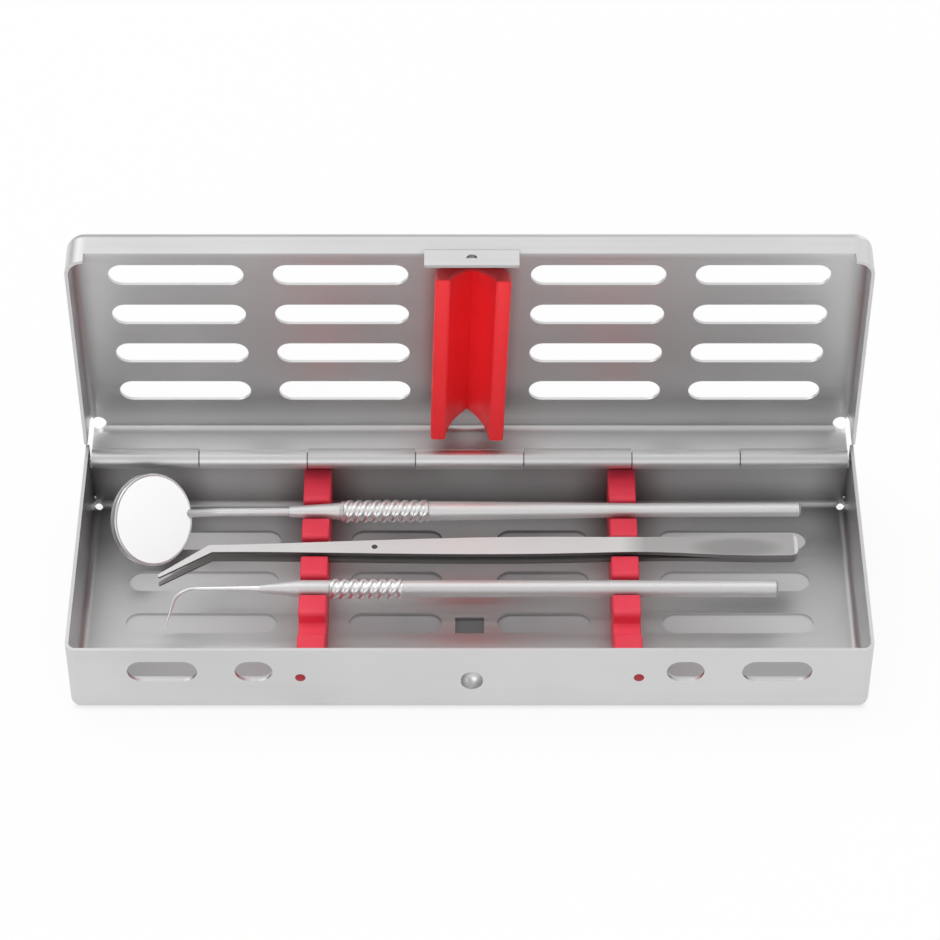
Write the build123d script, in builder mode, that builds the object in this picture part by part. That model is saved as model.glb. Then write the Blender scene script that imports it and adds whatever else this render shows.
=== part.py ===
from build123d import *
from math import cos, radians, sin
import os

os.makedirs("parts", exist_ok=True)

# Dental instrument cassette: a folded sheet tray with a hinged lid, two silicone rails
# with notches, a silicone hold-down in the lid, and a mirror, tweezers and a probe.
# Millimetres, +Z up. The origin is the centre of the tray's underside, the hinge runs
# along X at the back (+Y), and the lid stands open.

# Sheet metal
sheet = 0.8
bend_radius = 2.5

# Tray
case_width = 184
case_depth = 66
base_height = 20.5
slot_width = 6.4
floor_row_pitch = 13.5
floor_rows = 4
floor_long_slot = 35.6
floor_side_margin = 10.9
floor_middle_margin = 6.5
floor_rail_margin = 4.75
locating_hole_width = 6.8
locating_hole_depth = 5
locating_hole_y = -7.5
front_slot_z = 13.3
front_long_slot = 16
front_long_inset = 21.8
front_short_slot = 8.6
front_short_offset = 10.6
front_slot_width = 6.6
relief_radius = 1.1
seam_gap = 0.4

# Hinge
pin_radius = 1.65
pin_clearance = 0.05
hinge_drop = 2.3
hinge_end_gap = 0.6
knuckle_count = 7
knuckle_gap = 0.3
curl_angle = 205
swing_clearance = 0.3
open_angle = 88

# Lid
lid_overhang = 0.4
lid_height = 10.5
closed_gap = 0.1
front_gap = 2.5
lid_corner_radius = 4.5
rear_flange_end = 5
rear_wall_inset = 1.4
lid_relief_radius = 2
lid_slot_side_margin = 8.6
lid_slot_middle_margin = 14.2
lid_slot_gap = 6.8
lid_row_pitch = 12.85
lid_rows = 4

# Latch: a joggled tab on the lid's front flange, and round dimples pressed in tab and tray
latch_x = 0.5
tab_width = 21.6
tab_reach = 4.8
tab_clearance = 0.15
joggle_height = 1.2
tab_press_radius = 1.25
front_press_radius = 2.5
front_press_straight = 0.8
front_press_z = 10.2

# Silicone rails
rail_inset = 55.5
rail_width = 6.5
rail_top = 13.8
notch_floor = 10.4
notch_width = 5.6
notch_pitch = 12.3
notch_count = 4
tooth_chamfer = 0.6
plug_offset = 2.2
plug_z = 11.2
plug_radius = 0.95
plug_clearance = 0.05
plug_stand = 0.3

# Silicone hold-down in the lid
strip_front = 11.2
strip_length = 45.8
strip_width = 17.4
strip_depth = 12.3
strip_seat_width = 8.6
strip_lip = 3.3
strip_web = 2
valley_bulge = 0.9
stud_pitch = 26
stud_radius = 2
stud_head_radius = 3.2
stud_head_height = 1.2

# How the instruments lie in the notches
seat_gap = 0.3

# Mirror
mirror_y = 18.8
mirror_turn = 0.35
mirror_tail_gap = 12.2
mirror_tail_length = 39
mirror_tail_radius = 1.7
mirror_body_radius = 2.35
mirror_grip_length = 23
mirror_nose_length = 12
mirror_nose_radius = 1.3
stem_radius = 1
stem_socket = 8
stem_length = 17
stem_reach = 15.1
stem_bend_radius = 5
head_radius = 11
head_thickness = 2.6
head_back_chamfer = 0.9
head_wall_distance = 16.1
head_y = 15.9
head_z = 12.4
head_turn = 38
head_pitch = 45.5
glass_radius = 10.4
glass_thickness = 1
glass_clearance = 0.05

# Tweezers
tweezers_y = 5.72
tweezers_turn = 0.72
arm_thickness = 0.95
arm_rear_thickness = 1.2
arm_half_gap = 0.75
arm_tip_half_gap = 1.1
arm_rear_end = 77.4
arm_joint_x = 60
arm_knee_x = 39
arm_rear_width = 7
arm_rear_straight = 7
arm_rear_rounding = 1.8
arm_waist_x = 46
arm_waist_width = 5
arm_wide_x = 21
arm_wide_width = 5.4
arm_front_x = -32
arm_front_width = 3.6
arm_bend_x = -61
arm_bend_width = 2.3
arm_tip_length = 14.8
arm_tip_width = 0.9
arm_tip_angle = 36
guide_pin_x = -22.4
guide_pin_radius = 0.55
guide_pin_clearance = 0.15

# Probe
probe_y = -6.7
probe_turn = 0
probe_end = 72
probe_radius = 2
probe_nose_start = -40
probe_nose_end = -49
probe_nose_radius = 0.95
shank_radius = 0.8
shank_socket = 6
hook_radius = 0.42
hook_start = -64
hook_bend_radius = 5
hook_angle = 80
hook_length = 10
point_radius = 0.1

# Grips: rings turned into both handles
grip_pitch = 3
grip_rings = 5
grip_groove_width = 0.7
grip_groove_depth = 0.3
mirror_grip_start = 7
probe_grip_start = -15

end_chamfer = 0.5

# Worked out from the sizes above
inner_radius = bend_radius - sheet
bore_radius = pin_radius + pin_clearance
barrel_radius = bore_radius + sheet
curl_radius = bore_radius + sheet / 2
hinge_y = case_depth / 2 - barrel_radius
hinge_z = base_height - hinge_drop
barrel_length = case_width - 2 * (sheet + hinge_end_gap)
knuckle_pitch = barrel_length / knuckle_count
knuckle_length = knuckle_pitch - knuckle_gap
base_knuckles = range(0, knuckle_count, 2)
lid_knuckles = range(1, knuckle_count, 2)
back_wall_top = hinge_z - barrel_radius - swing_clearance
lid_width = case_width + 2 * lid_overhang
lid_slot_length = (lid_width / 2 - lid_slot_side_margin - lid_slot_middle_margin - lid_slot_gap) / 2
lid_slot_pitch = lid_slot_length + lid_slot_gap
lid_slot_group_x = lid_slot_middle_margin + lid_slot_length + lid_slot_gap / 2
rail_x = case_width / 2 - rail_inset
plug_x = rail_x + plug_offset
floor_long_x = case_width / 2 - floor_side_margin - floor_long_slot / 2
floor_short_slot = rail_x - rail_width / 2 - floor_rail_margin - floor_middle_margin
floor_short_x = floor_middle_margin + floor_short_slot / 2
front_long_x = case_width / 2 - front_long_inset
front_short_x = plug_x + front_short_offset
groove_corners = [
    (-grip_groove_width / 2, 0),
    (grip_groove_width / 2, 0),
    (0, -grip_groove_depth),
]

# Heights and depths of the lid, counted from the hinge axis with the lid shut
lid_top = hinge_drop + lid_height
lid_edge = hinge_drop + closed_gap
lid_front = -case_depth / 2 - hinge_y
lid_rear = case_depth / 2 - hinge_y
lid_middle = (lid_front + lid_rear) / 2
front_flange_edge = lid_edge + front_gap
rear_wall_edge = barrel_radius + swing_clearance

opening = radians(open_angle)
lid_rearward = (0, cos(opening), -sin(opening))
lid_upward = (0, sin(opening), cos(opening))
lid_frontward = (0, -cos(opening), sin(opening))
hinge_point = (0, hinge_y, hinge_z)
lid_frame = Plane(origin=hinge_point, x_dir=(1, 0, 0), z_dir=lid_upward)


def lid_section(x):
    return Plane(origin=(x, hinge_y, hinge_z), x_dir=lid_rearward, z_dir=(1, 0, 0))


def lid_cross(depth):
    origin = lid_frame.from_local_coords((0, depth, 0))
    return Plane(origin=origin, x_dir=(1, 0, 0), z_dir=lid_frontward)


def knuckle_x(index):
    return (index - (knuckle_count - 1) / 2) * knuckle_pitch


def row_places(x_values, pitch, count):
    return [(x, (row - (count - 1) / 2) * pitch) for x in x_values for row in range(count)]


def finish(part, name):
    part.label = name
    export_step(part, f"parts/{name}.step")


# Tray: a folded box with slots, an open back edge and four rolled knuckles
with BuildPart() as base_tray:
    with BuildSketch():
        Rectangle(case_width, case_depth)
    extrude(amount=base_height)
    front_corners = base_tray.edges().filter_by(Axis.Z).group_by(Axis.Y)[0]
    fillet(front_corners + base_tray.faces().sort_by(Axis.Z)[0].edges(), bend_radius)
    offset(amount=-sheet, openings=base_tray.faces().sort_by(Axis.Z)[-1])

    # The back wall stops under the barrel and stands free of the side walls
    wall_inside = case_depth / 2 - sheet
    back_width = case_width - 2 * sheet
    with BuildSketch(Plane.XZ.offset(-wall_inside + bend_radius)):
        with Locations((0, (back_wall_top + base_height) / 2)):
            Rectangle(back_width, base_height - back_wall_top)
        seam_x = back_width / 2 - seam_gap / 2
        seam_z = (bend_radius + back_wall_top) / 2
        with Locations((-seam_x, seam_z), (seam_x, seam_z)):
            Rectangle(seam_gap, back_wall_top - bend_radius)
    extrude(amount=-2 * bend_radius, mode=Mode.SUBTRACT)
    corner_x = case_width / 2 - inner_radius
    corner_y = case_depth / 2 - inner_radius
    with BuildSketch(Plane.XY):
        with Locations((-corner_x, corner_y), (corner_x, corner_y)):
            Circle(relief_radius)
    extrude(amount=bend_radius, mode=Mode.SUBTRACT)

    with BuildSketch():
        with Locations(*row_places((-floor_long_x, floor_long_x), floor_row_pitch, floor_rows)):
            SlotOverall(floor_long_slot, slot_width)
        with Locations(*row_places((-floor_short_x, floor_short_x), floor_row_pitch, floor_rows)):
            SlotOverall(floor_short_slot, slot_width)
        with Locations((0, locating_hole_y)):
            Rectangle(locating_hole_width, locating_hole_depth)
    extrude(amount=sheet, mode=Mode.SUBTRACT)

    with BuildSketch(Plane.XZ.offset(case_depth / 2)):
        with Locations((-front_long_x, front_slot_z), (front_long_x, front_slot_z)):
            SlotOverall(front_long_slot, front_slot_width)
        with Locations((-front_short_x, front_slot_z), (front_short_x, front_slot_z)):
            SlotOverall(front_short_slot, front_slot_width)
    extrude(amount=-sheet, mode=Mode.SUBTRACT)

    # Holes for the rails' plugs in the front and back walls
    with BuildSketch(Plane.XZ):
        with Locations((-plug_x, plug_z), (plug_x, plug_z)):
            Circle(plug_radius + plug_clearance)
    extrude(amount=case_depth, both=True, mode=Mode.SUBTRACT)

    # Dimple pressed inwards at the middle of the front wall
    press_axis = Axis((latch_x, -case_depth / 2, 0), (0, 0, 1))
    press_low = (latch_x, front_press_z - front_press_straight / 2)
    press_high = (latch_x, front_press_z + front_press_straight / 2)
    for swell, mode in ((sheet, Mode.ADD), (0, Mode.SUBTRACT)):
        with BuildSketch(Plane.XZ.offset(case_depth / 2)):
            with BuildLine():
                low_arc = CenterArc(press_low, front_press_radius + swell, -90, 90)
                high_arc = CenterArc(press_high, front_press_radius + swell, 0, 90)
                Line(low_arc @ 1, high_arc @ 0)
                Line(high_arc @ 1, low_arc @ 0)
            make_face()
        revolve(axis=press_axis, revolution_arc=180, mode=mode)

    # Knuckles: the sheet runs up the back, over the pin and down in front
    for index in base_knuckles:
        start = knuckle_x(index) - knuckle_length / 2
        with BuildSketch(Plane.YZ.offset(start)):
            with BuildLine():
                Line((hinge_y + curl_radius, back_wall_top), (hinge_y + curl_radius, hinge_z))
                CenterArc((hinge_y, hinge_z), curl_radius, 0, curl_angle)
            trace(line_width=sheet)
        extrude(amount=knuckle_length)

finish(base_tray.part, "base_tray")


# Hinge pin
with BuildPart() as hinge_pin:
    with BuildSketch(Plane.YZ.offset(-barrel_length / 2)):
        with Locations((hinge_y, hinge_z)):
            Circle(pin_radius)
    extrude(amount=barrel_length)
    chamfer(hinge_pin.edges().filter_by(GeomType.CIRCLE), end_chamfer / 2)

finish(hinge_pin.part, "hinge_pin")


# Lid: a shallow folded box, three knuckles and the latch tab
lid_up_axis = Axis(hinge_point, lid_upward)
lid_rear_axis = Axis(hinge_point, lid_rearward)
stud_middle = lid_front + strip_front + strip_length / 2
stud_places = [(0, stud_middle - stud_pitch / 2), (0, stud_middle + stud_pitch / 2)]

with BuildPart() as lid:
    with BuildSketch(lid_frame.offset(lid_edge)):
        with Locations((0, lid_middle)):
            Rectangle(lid_width, case_depth)
    extrude(amount=lid_top - lid_edge)
    fillet(lid.edges().filter_by(lid_up_axis).group_by(lid_rear_axis)[0], lid_corner_radius)
    fillet(lid.faces().sort_by(lid_up_axis)[-1].edges(), bend_radius)
    offset(amount=-sheet, openings=lid.faces().sort_by(lid_up_axis)[0])

    # The front flange stops above the tray's rim, with a deeper notch where the tab starts
    joggle_top = front_flange_edge + joggle_height + sheet
    with BuildSketch(lid_frame.offset(lid_edge)):
        with Locations((0, lid_front)):
            Rectangle(lid_width - 2 * lid_corner_radius, 2 * bend_radius)
    extrude(amount=front_gap, mode=Mode.SUBTRACT)
    with BuildSketch(lid_frame.offset(lid_edge)):
        with Locations((latch_x, lid_front)):
            Rectangle(tab_width, 2 * bend_radius)
    extrude(amount=joggle_top - lid_edge, mode=Mode.SUBTRACT)

    # The rear wall clears the tray's knuckles, and the flanges end short of it
    with BuildSketch(lid_frame.offset(lid_edge)):
        with Locations((0, lid_rear)):
            Rectangle(lid_width, 2 * bend_radius)
    extrude(amount=rear_wall_edge - lid_edge, mode=Mode.SUBTRACT)
    corner_cut = rear_wall_inset + bend_radius
    corner_cut_x = lid_width / 2 - rear_wall_inset + corner_cut / 2
    with BuildSketch(lid_frame.offset(lid_edge)):
        with Locations((-corner_cut_x, lid_rear), (corner_cut_x, lid_rear)):
            Rectangle(corner_cut, 2 * rear_flange_end)
    extrude(amount=lid_top - lid_edge, mode=Mode.SUBTRACT)
    relief_x = lid_width / 2 - bend_radius
    relief_y = lid_rear - bend_radius
    with BuildSketch(lid_frame.offset(lid_top)):
        with Locations((-relief_x, relief_y), (relief_x, relief_y)):
            Circle(lid_relief_radius)
        groups = [(-lid_slot_group_x, lid_middle), (lid_slot_group_x, lid_middle)]
        with Locations(*groups):
            with GridLocations(lid_slot_pitch, lid_row_pitch, 2, lid_rows):
                SlotOverall(lid_slot_length, slot_width)
        with Locations(*stud_places):
            Circle(stud_radius + plug_clearance)
    extrude(amount=-bend_radius, mode=Mode.SUBTRACT)

    # Knuckles: the sheet comes down the back, under the pin and up in front
    for index in lid_knuckles:
        start = knuckle_x(index) - knuckle_length / 2
        with BuildSketch(lid_section(start)):
            with BuildLine():
                Line((curl_radius, rear_wall_edge), (curl_radius, 0))
                CenterArc((0, 0), curl_radius, 0, -curl_angle)
            trace(line_width=sheet)
        extrude(amount=knuckle_length)

    # Tab: joggled outwards so that it passes in front of the tray's wall
    flange_middle = lid_front + sheet / 2
    tab_middle = flange_middle - sheet - tab_clearance
    tab_end = front_flange_edge - tab_reach
    with BuildSketch(lid_section(latch_x - tab_width / 2)):
        with BuildLine():
            Polyline(
                (flange_middle, joggle_top),
                (flange_middle, front_flange_edge + joggle_height),
                (tab_middle, front_flange_edge),
                (tab_middle, tab_end),
            )
        trace(line_width=sheet)
    extrude(amount=tab_width)
    tab_face = Plane(
        origin=lid_frame.from_local_coords((latch_x, tab_middle - sheet / 2, lid_edge)),
        x_dir=(1, 0, 0),
        z_dir=lid_frontward,
    )
    tab_press_axis = Axis(tab_face.origin, lid_upward)
    for swell, mode in ((sheet, Mode.ADD), (0, Mode.SUBTRACT)):
        with BuildSketch(tab_face):
            with BuildLine():
                tab_arc = CenterArc((0, 0), tab_press_radius + swell, 0, 90)
                Line(tab_arc @ 1, (0, 0))
                Line((0, 0), tab_arc @ 0)
            make_face()
        revolve(axis=tab_press_axis, revolution_arc=180, mode=mode)

finish(lid.part, "lid")


# Hold-down: a soft channel whose two lips point at the instruments, buttoned to the lid
strip_back = lid_front + strip_front + strip_length
panel_inside = lid_top - sheet
with BuildPart() as hold_down:
    with BuildSketch(lid_cross(strip_back)):
        lip_edge = panel_inside - strip_depth
        shoulder = panel_inside - (strip_width - strip_seat_width) / 2
        valley_x = strip_width / 2 - strip_lip
        valley_floor = panel_inside - strip_web
        with BuildLine():
            Line((0, panel_inside), (strip_seat_width / 2, panel_inside))
            back_curve = TangentArc(
                (strip_seat_width / 2, panel_inside), (strip_width / 2, shoulder), tangent=(1, 0)
            )
            Line(back_curve @ 1, (strip_width / 2, lip_edge))
            Line((strip_width / 2, lip_edge), (valley_x, lip_edge))
            ThreePointArc(
                (valley_x, lip_edge),
                (valley_x / 2 + valley_bulge, (lip_edge + valley_floor) / 2 + valley_bulge / 2),
                (0, valley_floor),
            )
            Line((0, valley_floor), (0, panel_inside))
        make_face()
        mirror(about=Plane.YZ)
    extrude(amount=strip_length)
    with BuildSketch(lid_frame.offset(panel_inside)):
        with Locations(*stud_places):
            Circle(stud_radius)
    extrude(amount=sheet)
    with BuildSketch(lid_frame.offset(lid_top)):
        with Locations(*stud_places):
            Circle(stud_head_radius)
    extrude(amount=stud_head_height)
    chamfer(hold_down.faces().sort_by(lid_up_axis)[-2:].edges(), stud_head_height / 2)

finish(hold_down.part, "hold_down_strip")


# Rails: soft bars on the tray's floor, plugged into the front and back walls
notch_rows = [(row - (notch_count - 1) / 2) * notch_pitch for row in range(notch_count)]
rail_length = case_depth - 2 * sheet

for name, side in (("rail_left", -1), ("rail_right", 1)):
    with BuildPart() as rail:
        with BuildSketch(Plane.YZ.offset(side * rail_x - rail_width / 2)) as rail_side:
            with Locations((0, (sheet + rail_top) / 2)):
                Rectangle(rail_length, rail_top - sheet)
            chamfer(rail_side.vertices().group_by(Axis.Y)[0], inner_radius)
            with Locations(*[(notch_y, rail_top) for notch_y in notch_rows]):
                Rectangle(notch_width, 2 * (rail_top - notch_floor), mode=Mode.SUBTRACT)
            chamfer(rail_side.vertices().group_by(Axis.Y)[-1], tooth_chamfer)
        extrude(amount=rail_width)
        for end in (-1, 1):
            with BuildSketch(Plane.XZ.offset(end * rail_length / 2)):
                with Locations((side * plug_x, plug_z)):
                    Circle(plug_radius)
            extrude(amount=end * (sheet + plug_stand))
    finish(rail.part, name)


# Planes and axes of the instruments: X runs along the instrument, from its tip to its end
def lying_plane(y, z, turn):
    along = (cos(radians(turn)), sin(radians(turn)), 0)
    return Plane(origin=(0, y, z), x_dir=along, z_dir=(0, 0, 1))


def upright_plane(flat):
    return Plane(origin=flat.origin, x_dir=flat.x_dir, z_dir=-flat.y_dir)


def ring_places(start, radius):
    return [(start - (ring + 0.5) * grip_pitch, radius) for ring in range(grip_rings)]


# Mirror handle: nose, grip, body and a tapered tail, turned in one piece
head_x = sheet + head_wall_distance - case_width / 2
stem_bend_x = head_x + stem_reach
mirror_nose_x = stem_bend_x + stem_length
mirror_grip_end = mirror_nose_x + mirror_nose_length
mirror_body_x = mirror_grip_end + mirror_grip_length
mirror_handle_end = case_width / 2 - sheet - mirror_tail_gap
mirror_tail_start = mirror_handle_end - mirror_tail_length
mirror_z = notch_floor + seat_gap + mirror_tail_radius
mirror_flat = lying_plane(mirror_y, mirror_z, mirror_turn)
mirror_upright = upright_plane(mirror_flat)
mirror_axis = Axis(mirror_flat.origin, mirror_flat.x_dir)

with BuildPart() as mirror_handle:
    with BuildSketch(mirror_upright):
        with BuildLine():
            Polyline(
                (mirror_nose_x, 0),
                (mirror_nose_x, mirror_nose_radius),
                (mirror_grip_end, mirror_body_radius - grip_groove_depth),
                (mirror_grip_end + 2 * grip_groove_depth, mirror_body_radius),
                (mirror_body_x, mirror_body_radius),
                (mirror_tail_start, mirror_tail_radius),
                (mirror_handle_end - end_chamfer, mirror_tail_radius),
                (mirror_handle_end, mirror_tail_radius - end_chamfer),
                (mirror_handle_end, 0),
                close=True,
            )
        make_face()
    revolve(axis=mirror_axis)
    with BuildSketch(mirror_upright):
        with Locations(*ring_places(mirror_body_x - mirror_grip_start, mirror_body_radius)):
            Polygon(*groove_corners)
    revolve(axis=mirror_axis, mode=Mode.SUBTRACT)
    with BuildSketch(mirror_upright):
        with BuildLine():
            Polyline(
                (mirror_nose_x, 0),
                (mirror_nose_x, stem_radius + plug_clearance),
                (mirror_nose_x + stem_socket, stem_radius + plug_clearance),
                (mirror_nose_x + stem_socket, 0),
                close=True,
            )
        make_face()
    revolve(axis=mirror_axis, mode=Mode.SUBTRACT)

finish(mirror_handle.part, "mirror_handle")


# Mirror head: a cup with a rolled rim and a glass let into it, turned towards the front
head_normal = Vector(0, -sin(radians(90 - head_pitch)), cos(radians(90 - head_pitch)))
head_normal = Vector(
    sin(radians(head_turn)),
    head_normal.Y * cos(radians(head_turn)),
    head_normal.Z * cos(radians(head_turn)),
)
stem_bend = mirror_flat.from_local_coords((stem_bend_x, 0, 0))
head_centre = Vector(head_x, head_y, head_z)
towards_stem = stem_bend - head_centre
towards_stem = towards_stem - head_normal * towards_stem.dot(head_normal)
head_plane = Plane(origin=head_centre, x_dir=towards_stem, z_dir=head_normal)

with BuildPart() as mirror_cup:
    with BuildSketch(head_plane.offset(-head_thickness)):
        Circle(head_radius)
    extrude(amount=head_thickness)
    chamfer(mirror_cup.faces().sort_by(Axis(head_centre, head_normal))[0].edges(), head_back_chamfer)
    with BuildSketch(head_plane):
        Circle(glass_radius + glass_clearance)
    extrude(amount=-glass_thickness, mode=Mode.SUBTRACT)

finish(mirror_cup.part, "mirror_cup")

with BuildPart() as mirror_glass:
    with BuildSketch(head_plane):
        Circle(glass_radius)
    extrude(amount=-glass_thickness)

finish(mirror_glass.part, "mirror_glass")


# Mirror stem: screwed into the nose, bent once, and fixed to the side of the cup
stem_foot = mirror_flat.from_local_coords((mirror_nose_x + stem_socket, 0, 0))
stem_end = head_plane.from_local_coords((head_radius - stem_radius, 0, -head_thickness / 2))

with BuildPart() as mirror_stem:
    with BuildLine():
        FilletPolyline(stem_foot, stem_bend, stem_end, radius=stem_bend_radius)
    with BuildSketch(Plane(origin=stem_foot, z_dir=-mirror_flat.x_dir)):
        Circle(stem_radius)
    sweep()
    add(mirror_cup.part, mode=Mode.SUBTRACT)
    add(mirror_glass.part, mode=Mode.SUBTRACT)

finish(mirror_stem.part, "mirror_stem")


# Tweezers: two flat arms, one over the other, joined at the rear, with bent tips
arm_half_height = arm_half_gap + arm_thickness
tweezers_z = notch_floor + seat_gap + arm_half_height
tweezers_flat = lying_plane(tweezers_y, tweezers_z, tweezers_turn)
tweezers_upright = upright_plane(tweezers_flat)
bend_point = (arm_bend_x, 0)
tip_direction = (-cos(radians(arm_tip_angle)), -sin(radians(arm_tip_angle)))
tip_x = arm_bend_x + arm_tip_length * tip_direction[0]

for name, side in (("tweezers_lower_arm", -1), ("tweezers_upper_arm", 1)):
    with BuildPart() as arm:
        with BuildSketch(tweezers_flat):
            with BuildLine():
                edge = Spline(
                    (arm_bend_x, arm_bend_width / 2),
                    (arm_front_x, arm_front_width / 2),
                    (arm_wide_x, arm_wide_width / 2),
                    (arm_waist_x, arm_waist_width / 2),
                    (arm_rear_end - arm_rear_straight, arm_rear_width / 2),
                    tangents=[(1, 0), (1, 0)],
                )
                corner = (arm_rear_end - arm_rear_rounding, arm_rear_width / 2)
                rear_edge = (arm_rear_end, arm_rear_width / 2 - arm_rear_rounding)
                Line(edge @ 1, corner)
                TangentArc(corner, rear_edge, tangent=(1, 0))
                Line(rear_edge, (arm_rear_end, 0))
                Line((arm_rear_end, 0), bend_point)
                Line(bend_point, edge @ 0)
            make_face()
            mirror(about=Plane.XZ)
            with Locations(bend_point):
                Circle(arm_bend_width / 2)
            with BuildLine(Plane(origin=bend_point, x_dir=tip_direction)):
                Polyline(
                    (0, arm_bend_width / 2),
                    (arm_tip_length, arm_tip_width / 2),
                    (arm_tip_length, -arm_tip_width / 2),
                    (0, -arm_bend_width / 2),
                    close=True,
                )
            make_face()
        extrude(amount=side * 2 * arm_half_height)
        with BuildSketch(tweezers_upright):
            with BuildLine():
                Polyline(
                    (arm_rear_end, 0),
                    (arm_rear_end, side * arm_rear_thickness),
                    (arm_joint_x, side * arm_rear_thickness),
                    (arm_knee_x, side * arm_half_height),
                    (arm_front_x, side * arm_half_height),
                    (tip_x, side * (arm_tip_half_gap + arm_thickness / 2)),
                    (tip_x, side * arm_tip_half_gap),
                    (arm_front_x, side * arm_half_gap),
                    (arm_knee_x, side * arm_half_gap),
                    (arm_joint_x, 0),
                    close=True,
                )
            make_face()
        extrude(amount=case_width, both=True, mode=Mode.INTERSECT)
        with BuildSketch(tweezers_flat):
            with Locations((guide_pin_x, 0)):
                Circle(guide_pin_radius + (guide_pin_clearance if side > 0 else 0))
        extrude(amount=side * arm_half_height, mode=Mode.SUBTRACT)
    finish(arm.part, name)

with BuildPart() as guide_pin:
    with BuildSketch(tweezers_flat):
        with Locations((guide_pin_x, 0)):
            Circle(guide_pin_radius)
    extrude(amount=arm_half_height, both=True)

finish(guide_pin.part, "tweezers_guide_pin")


# Probe handle, and the pointed hook pressed into its nose
probe_z = notch_floor + seat_gap + probe_radius
probe_flat = lying_plane(probe_y, probe_z, probe_turn)
probe_upright = upright_plane(probe_flat)
probe_axis = Axis(probe_flat.origin, probe_flat.x_dir)

with BuildPart() as probe_handle:
    with BuildSketch(probe_upright):
        with BuildLine():
            Polyline(
                (probe_nose_end, 0),
                (probe_nose_end, probe_nose_radius),
                (probe_nose_start, probe_radius),
                (probe_end - end_chamfer, probe_radius),
                (probe_end, probe_radius - end_chamfer),
                (probe_end, 0),
                close=True,
            )
        make_face()
    revolve(axis=probe_axis)
    with BuildSketch(probe_upright):
        with Locations(*ring_places(probe_grip_start, probe_radius)):
            Polygon(*groove_corners)
    revolve(axis=probe_axis, mode=Mode.SUBTRACT)
    with BuildSketch(probe_upright):
        with BuildLine():
            Polyline(
                (probe_nose_end, 0),
                (probe_nose_end, shank_radius),
                (probe_nose_end + shank_socket, shank_radius),
                (probe_nose_end + shank_socket, 0),
                close=True,
            )
        make_face()
    revolve(axis=probe_axis, mode=Mode.SUBTRACT)

finish(probe_handle.part, "probe_handle")

with BuildPart() as probe_tip:
    with BuildSketch(probe_upright):
        with BuildLine():
            Polyline(
                (probe_nose_end + shank_socket, 0),
                (probe_nose_end + shank_socket, shank_radius),
                (probe_nose_end, shank_radius),
                (hook_start, hook_radius),
                (hook_start, 0),
                close=True,
            )
        make_face()
    revolve(axis=probe_axis)
    with BuildLine(probe_flat) as hook_line:
        CenterArc((hook_start, -hook_bend_radius), hook_bend_radius, 90, hook_angle)
    hook_arc = hook_line.line
    with BuildSketch(Plane(origin=hook_arc @ 0, z_dir=hook_arc % 0)):
        Circle(hook_radius)
    sweep(path=hook_arc)
    with BuildSketch(Plane(origin=hook_arc @ 1, x_dir=hook_arc % 1, z_dir=probe_flat.z_dir)):
        with BuildLine():
            Polyline(
                (0, 0),
                (0, hook_radius),
                (hook_length, point_radius),
                (hook_length, 0),
                close=True,
            )
        make_face()
    revolve(axis=Axis(hook_arc @ 1, hook_arc % 1))

finish(probe_tip.part, "probe_tip")
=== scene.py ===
import bpy
import bmesh
from math import cos, pi, radians, sin
from mathutils import Matrix, Vector


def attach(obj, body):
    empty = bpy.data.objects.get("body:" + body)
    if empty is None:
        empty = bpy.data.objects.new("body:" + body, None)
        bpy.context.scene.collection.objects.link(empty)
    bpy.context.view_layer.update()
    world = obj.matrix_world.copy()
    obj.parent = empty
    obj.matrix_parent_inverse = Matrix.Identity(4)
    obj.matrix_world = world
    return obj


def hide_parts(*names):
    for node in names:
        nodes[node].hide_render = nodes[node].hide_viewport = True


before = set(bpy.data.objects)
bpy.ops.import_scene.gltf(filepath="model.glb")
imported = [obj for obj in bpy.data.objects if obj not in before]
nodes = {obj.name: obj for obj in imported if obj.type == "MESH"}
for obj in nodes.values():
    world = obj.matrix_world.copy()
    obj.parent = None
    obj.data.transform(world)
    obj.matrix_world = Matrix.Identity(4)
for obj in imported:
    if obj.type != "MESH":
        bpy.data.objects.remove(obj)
bpy.context.view_layer.update()
mm = 0.001
print("frame loaded")


# short ways to add shader and geometry nodes

def setSocket(tree, socket, value):
    if isinstance(value, bpy.types.NodeSocket):
        tree.links.new(value, socket)
    else:
        socket.default_value = value


def calc(tree, operation, *terms):
    node = tree.nodes.new("ShaderNodeMath")
    node.operation = operation
    for slot, value in enumerate(terms):
        setSocket(tree, node.inputs[slot], value)
    return node.outputs[0]


def spread(tree, value, start, end, low=0.0, high=1.0, smooth=False, clamp=True):
    # a value that runs from start to end gives low to high
    node = tree.nodes.new("ShaderNodeMapRange")
    node.clamp = clamp
    if smooth:
        node.interpolation_type = "SMOOTHSTEP"
    labels = ("Value", "From Min", "From Max", "To Min", "To Max")
    for label, setting in zip(labels, (value, start, end, low, high)):
        setSocket(tree, node.inputs[label], setting)
    return node.outputs["Result"]


def blend(tree, share, first, second, kind="RGBA"):
    node = tree.nodes.new("ShaderNodeMix")
    node.data_type = kind
    for label, value in (("Factor", share), ("A", first), ("B", second)):
        setSocket(tree, node.inputs[label], value)
    return node.outputs["Result"]


def dim(tree, colour, share):
    node = tree.nodes.new("ShaderNodeVectorMath")
    node.operation = "SCALE"
    setSocket(tree, node.inputs[0], colour)
    setSocket(tree, node.inputs["Scale"], share)
    return node.outputs["Vector"]


def splitAxes(tree, vector):
    node = tree.nodes.new("ShaderNodeSeparateXYZ")
    tree.links.new(vector, node.inputs["Vector"])
    return node.outputs


def addNoise(tree, vector, scale, detail):
    node = tree.nodes.new("ShaderNodeTexNoise")
    node.inputs["Scale"].default_value = scale
    node.inputs["Detail"].default_value = detail
    tree.links.new(vector, node.inputs["Vector"])
    return node.outputs["Fac"]


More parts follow.
